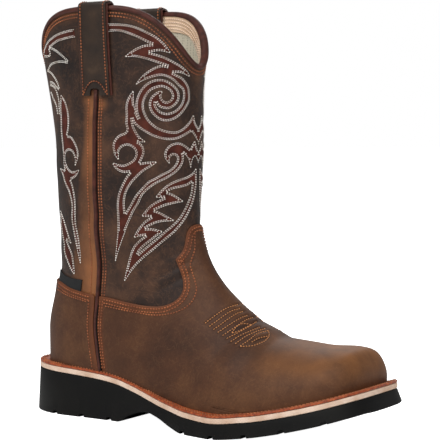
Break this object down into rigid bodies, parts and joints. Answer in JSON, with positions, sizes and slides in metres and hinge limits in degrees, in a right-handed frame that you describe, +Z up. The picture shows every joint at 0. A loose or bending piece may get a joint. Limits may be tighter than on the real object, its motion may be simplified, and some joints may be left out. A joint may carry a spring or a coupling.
{
  "type": "western work boot",
  "caption": "Right pull-on western work boot: hollow leather upper with scalloped top and pull loops, stitched welt, midsole, lugged unit sole with a low block heel.",
  "frame": {"origin": "under the middle of the boot's bounding box, on the floor that the sole stands on", "axes": "+X towards the toe, +Y towards the inner side of the foot, +Z up"},
  "size_m": [0.3112, 0.125, 0.3241],
  "materials": {
    "outsole_rubber": "black moulded rubber, matte",
    "midsole": "tan crepe-like sheet, matte",
    "welt_leather": "orange-brown stitched leather",
    "lining": "woven lining",
    "shaft_leather": "dark brown distressed leather, stitched",
    "foot_leather": "brown waxed pull-up leather",
    "trim_leather": "dark red-brown smooth leather",
    "loop_leather": "dark brown leather strap",
    "label_fabric": "black woven label, plain"
  },
  "bodies": {
    "root": {"outsole": "outsole_rubber", "midsole": "midsole", "welt": "welt_leather", "insole": "lining", "upper": "shaft_leather", "vamp": "foot_leather", "heel_counter": "foot_leather", "side_piping_outer": "trim_leather", "side_piping_inner": "trim_leather", "top_binding": "trim_leather", "pull_loop_outer": "loop_leather", "pull_loop_inner": "loop_leather", "side_label": "label_fabric"}
  },
  "joints": []
}
